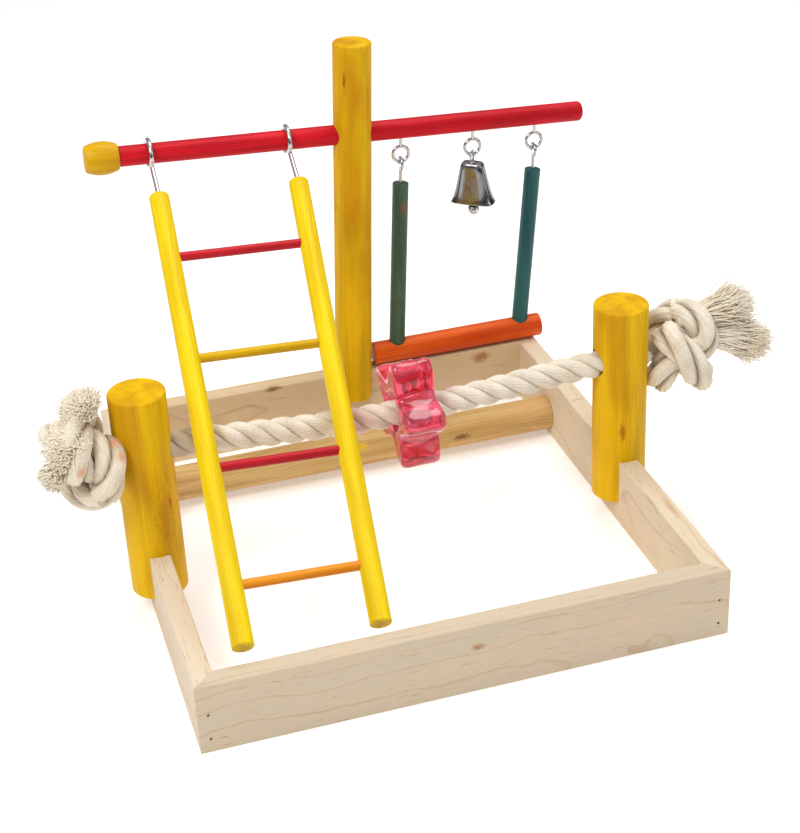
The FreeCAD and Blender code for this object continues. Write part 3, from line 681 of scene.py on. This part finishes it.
# --- Ladder ---------------------------------------------------------------------------------
# Two yellow rails with four dowel rungs glued in, red, yellow, red and orange. It hangs on the
# crossbar and leans forward on the rope.
ladder_lean = math.radians(59.5)      # from the mast, forward on to the rope
ladder_down = Vector((0, -math.sin(ladder_lean), -math.cos(ladder_lean)))
ladder_down.rotate(Matrix.Rotation(mast_lean, 3, "Y"))
ladder_rails = (("ladder_rail_left", -0.037), ("ladder_rail_right", -0.078))  # skew along the bar
for node_name, skew in ladder_rails:
    grain = (ladder_down + skew * Vector(bar_direction)).normalized()
    finish_node(node_name, wood_material(
        "yellow_stained_" + node_name, "F2D408", "CFA002", grain, middle_of(node_name), 1.9 * MM,
        (0, 0.006, 0.003), 0.02, 0.7, "E9C81C", 0.5, (), 0.5, 0.12))
rung_stains = (
    # node, light and dark stain, its name
    ("ladder_rung_1", "D0222E", "981019", "red"),
    ("ladder_rung_2", "E0B404", "B28204", "yellow"),
    ("ladder_rung_3", "C81F2C", "8F0E18", "red"),
    ("ladder_rung_4", "EE9A24", "CC7410", "orange"),
)
for node_name, light, dark, stain in rung_stains:
    finish_node(node_name, wood_material(
        stain + "_stained_" + node_name, light, dark, bar_direction, middle_of(node_name),
        1.5 * MM, (0, 0.004, 0.002), 0.03, 0.7, roughness=0.45, coat=0.15))

# --- Swing ----------------------------------------------------------------------------------
# Two dark green rods carry an orange-red perch. The stain is chipped near the top of the left
# rod, down to the brown wood.
rod_front = base_middle.y + 0.167
left_rod_chips = [((0.0699, rod_front, 0.181), 2.7 * MM, 2.6, "8A4E2E"),
                  ((0.0616, rod_front + 0.0002, 0.102), 2.5 * MM, 2.5, "585040")]
rod_stains = (("swing_rod_left", "48654E", "2A3E33", left_rod_chips),
              ("swing_rod_right", "275E5E", "183B40", []))
for node_name, light, dark, chips in rod_stains:
    finish_node(node_name, wood_material(
        "green_stained_" + node_name, light, dark, mast_direction, middle_of(node_name), 1.6 * MM,
        (0, 0.004, 0.003), 0.02, 0.8, marks=chips, roughness=0.42, coat=0.2))
finish_node("swing_perch", wood_material(
    "orange_red_stained_perch", "E4600F", "B43A06", (1, 0, 0), middle_of("swing_perch"), 2.0 * MM,
    (0, 0.007, 0.004), 0.03, 0.8, "C23006", 0.6, (), 0.45, 0.15))

# --- Plated hooks and eyes ------------------------------------------------------------------
# Hooks, screw eyes and the bell's hanger and clapper, bent from steel wire and nickel plated.
# Each hook hangs open in its eye, and the eyes are screwed into the crossbar from below.
plating_mark = 2.38 * MM    # finer marks wouldn't show


def bright_plate(name, colour):
    """Plated steel: mirror-like, and a little duller in the marks of rolling and drawing."""
    material, tree, shader = new_material(name, 0.14, colour, Metallic=1.0)
    coords = add_node(tree, "TexCoord")
    marks = add_node(tree, "TexNoise", {"Scale": 1 / plating_mark, "Detail": 4.0},
                     {"Vector": coords.outputs["Object"]})
    rough = add_node(tree, "MapRange", {1: 0.3, 2: 0.7, 3: 0.08, 4: 0.26}, {0: marks.outputs[0]})
    tree.links.new(rough.outputs[0], shader.inputs["Roughness"])
    bump = add_node(tree, "Bump", {"Strength": 0.08, "Distance": 0.05 * MM},
                    {"Height": marks.outputs[0]})
    tree.links.new(bump.outputs[0], shader.inputs["Normal"])
    return material


plate = bright_plate("bright_nickel_plated_wire", "C9CACC")
plated = ["ladder_hook_left", "ladder_hook_right", "swing_eye_left", "swing_eye_right", "bell_eye",
          "swing_hook_left", "swing_hook_right", "bell_hanger", "bell_clapper"]
for node_name in plated:
    finish_node(node_name, plate)

# --- Bell shell -----------------------------------------------------------------------------
# A cow bell drawn from thin steel sheet and chrome plated: a rounded oblong crown, sides that
# spread to a flared mouth, and all corners soft. It hangs by its crown from the wire hanger.
bell_sheet = 0.8 * MM
bell_lip = 0.25 * MM        # rounding of the cut edge
bell_turn = math.radians(-38)
bell_corner_power = 0.52    # 1 gives an oval mouth, 0 a square one
bell_sections = (
    # share of the height, half length and half width in millimetres
    (0.0, 17.0, 9.0), (0.05, 16.0, 8.5), (0.14, 14.8, 7.9), (0.3, 13.2, 7.2), (0.5, 11.8, 6.6),
    (0.75, 10.1, 5.8), (0.9, 9.0, 5.3), (0.96, 8.3, 4.8), (0.99, 7.2, 4.0), (1.0, 5.4, 3.0))
bell_low, bell_high = (Vector(corner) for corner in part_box("bell_shell"))
bell_place = Vector(((bell_low.x + bell_high.x) / 2, (bell_low.y + bell_high.y) / 2, bell_low.z))
bell_height = bell_high.z - bell_low.z
bpy.ops.object.select_all(action="DESELECT")
bpy.ops.mesh.primitive_circle_add(vertices=48, radius=1, fill_type="NGON", location=(0, 0, 0))
bell = bpy.context.object
bell.name = "plated_cow_bell"
for vertex in bell.data.vertices:
    for axis, half in ((0, bell_sections[0][1]), (1, bell_sections[0][2])):
        part = vertex.co[axis]
        vertex.co[axis] = half * MM * math.copysign(abs(part) ** bell_corner_power, part)
bpy.ops.object.mode_set(mode="EDIT")
bpy.ops.mesh.select_all(action="SELECT")
for below, above in zip(bell_sections, bell_sections[1:]):
    rise = (above[0] - below[0]) * bell_height
    bpy.ops.mesh.extrude_region_move(TRANSFORM_OT_translate={"value": (0, 0, rise)})
    bpy.ops.transform.resize(value=(above[1] / below[1], above[2] / below[2], 1),
                             center_override=(0, 0, above[0] * bell_height))
bpy.ops.mesh.select_all(action="DESELECT")
bpy.ops.object.mode_set(mode="OBJECT")
for face in bell.data.polygons:
    face.select = len(face.vertices) > 4 and face.center.z < bell_height / 2
bpy.ops.object.mode_set(mode="EDIT")
bpy.ops.mesh.select_mode(type="FACE")
bpy.ops.mesh.delete(type="FACE")
bpy.ops.mesh.select_all(action="SELECT")
bpy.ops.mesh.normals_make_consistent(inside=False)
bpy.ops.object.mode_set(mode="OBJECT")
sheet = bell.modifiers.new("sheet", "SOLIDIFY")
sheet.thickness = bell_sheet
sheet.offset = -1
lip = bell.modifiers.new("lip", "BEVEL")
lip.width = bell_lip
lip.segments = 2
lip.limit_method = "ANGLE"
lip.angle_limit = math.radians(60)
for modifier in ("sheet", "lip"):
    bpy.ops.object.modifier_apply(modifier=modifier)
bell.data.transform(Matrix.Translation(bell_place) @ Matrix.Rotation(bell_turn, 4, "Z"))
bpy.ops.object.shade_smooth_by_angle(angle=math.radians(50))
# darker than the wire, partly as it mirrors more of the dim side of the room and partly as
# painted shade: its plating colour is painted darker to stand in for dim reflections
bell.data.materials.append(bright_plate("chrome_plated_sheet_painted_darker", "96969B"))
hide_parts("bell_shell")
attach(bell, "bell")

# --- Star bead ------------------------------------------------------------------------------
# A hollow five-pointed star, moulded in clear pink-red plastic, threaded on the rope. Its
# points are soft and end in small ears on both sides, and its walls glow in the light.
bead_middle = Vector((middle_of("star_bead").x, rope_y, 0.115064))
bead_tip = 42 * MM
bead_valley = 25 * MM
bead_bore = 10.05 * MM
bead_half_width = 14 * MM
bead_ear = 3.6 * MM         # how much wider the star is at the ends of its points
bead_saddle = 3.2 * MM      # dip between the two ears of a point
bead_turn = math.radians(98)
bead_ripple = 0.7 * MM
bead_flow = 16.7 * MM       # size of the ripples that the plastic's flow left
bead_points = 5
bead_point_power = 1.4      # higher gives narrower points
bead_wall_power = 0.6       # 1 gives a round wall in section, 0 a square one
bead_saddle_power = 1.5
bead_ripples_round = 11
bead_ripple_slant = 260     # radians round for each metre across


def clear_pink():
    """Clear moulded polystyrene, tinted pink-red: smooth, glossy, with soft flow ripples."""
    material, tree, shader = new_material("clear_pink_red_polystyrene", 0.08, "F03C5A",
                                          Transmission_Weight=0.8, IOR=1.45, Coat_Weight=0.5,
                                          Coat_Roughness=0.04)
    coords = add_node(tree, "TexCoord")
    flow = add_node(tree, "TexNoise", {"Scale": 1 / bead_flow, "Detail": 2.0, "Distortion": 0.8},
                    {"Vector": coords.outputs["Object"]})
    tint = add_node(tree, "ValToRGB", links={0: flow.outputs[0]})
    tint.color_ramp.elements[0].position = 0.36
    tint.color_ramp.elements[0].color = linear("F02844")
    tint.color_ramp.elements[1].position = 0.66
    tint.color_ramp.elements[1].color = linear("FF7A9E")
    tree.links.new(tint.outputs[0], shader.inputs["Base Color"])
    bump = add_node(tree, "Bump", {"Strength": 0.5, "Distance": 0.9 * MM},
                    {"Height": flow.outputs[0]})
    tree.links.new(bump.outputs[0], shader.inputs["Normal"])
    return material


bpy.ops.object.select_all(action="DESELECT")
bpy.ops.mesh.primitive_torus_add(major_segments=60, minor_segments=16, major_radius=2 * bead_bore,
                                 minor_radius=bead_bore, location=(0, 0, 0))
star = bpy.context.object
star.name = "pink_star_bead"
for vertex in star.data.vertices:
    round_axis = math.atan2(vertex.co.y, vertex.co.x)
    in_section = math.atan2(vertex.co.z, math.hypot(vertex.co.x, vertex.co.y) - 2 * bead_bore)
    point_share = (0.5 + 0.5 * math.cos(bead_points * (round_axis - bead_turn))) ** bead_point_power
    out_share = math.cos(in_section)
    wide_share = math.sin(in_section)
    reach = bead_valley + (bead_tip - bead_valley) * point_share
    middle_radius = (reach + bead_bore) / 2
    rounded = math.copysign(abs(out_share) ** bead_wall_power, out_share)
    radius = middle_radius + (reach - bead_bore) / 2 * rounded
    half = bead_half_width + bead_ear * point_share * max(0.0, out_share)
    across = half * math.copysign(abs(wide_share) ** bead_wall_power, wide_share)
    dip = (1 - abs(across) / half) ** bead_saddle_power
    radius -= bead_saddle * point_share * max(0.0, out_share) * dip
    ripple = math.sin(bead_ripples_round * round_axis + bead_ripple_slant * across)
    radius += bead_ripple * ripple * max(0.0, out_share)
    place = Vector((across, radius * math.cos(round_axis), radius * math.sin(round_axis)))
    vertex.co = bead_middle + place
bpy.ops.object.mode_set(mode="EDIT")
bpy.ops.mesh.select_all(action="SELECT")
bpy.ops.mesh.normals_make_consistent(inside=False)
bpy.ops.object.mode_set(mode="OBJECT")
rounding = star.modifiers.new("rounding", "SUBSURF")
rounding.levels = 2
rounding.render_levels = 2
bpy.ops.object.modifier_apply(modifier="rounding")
bpy.ops.object.shade_smooth()
star.data.materials.clear()
star.data.materials.append(clear_pink())
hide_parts("star_bead")
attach(star, "bead")
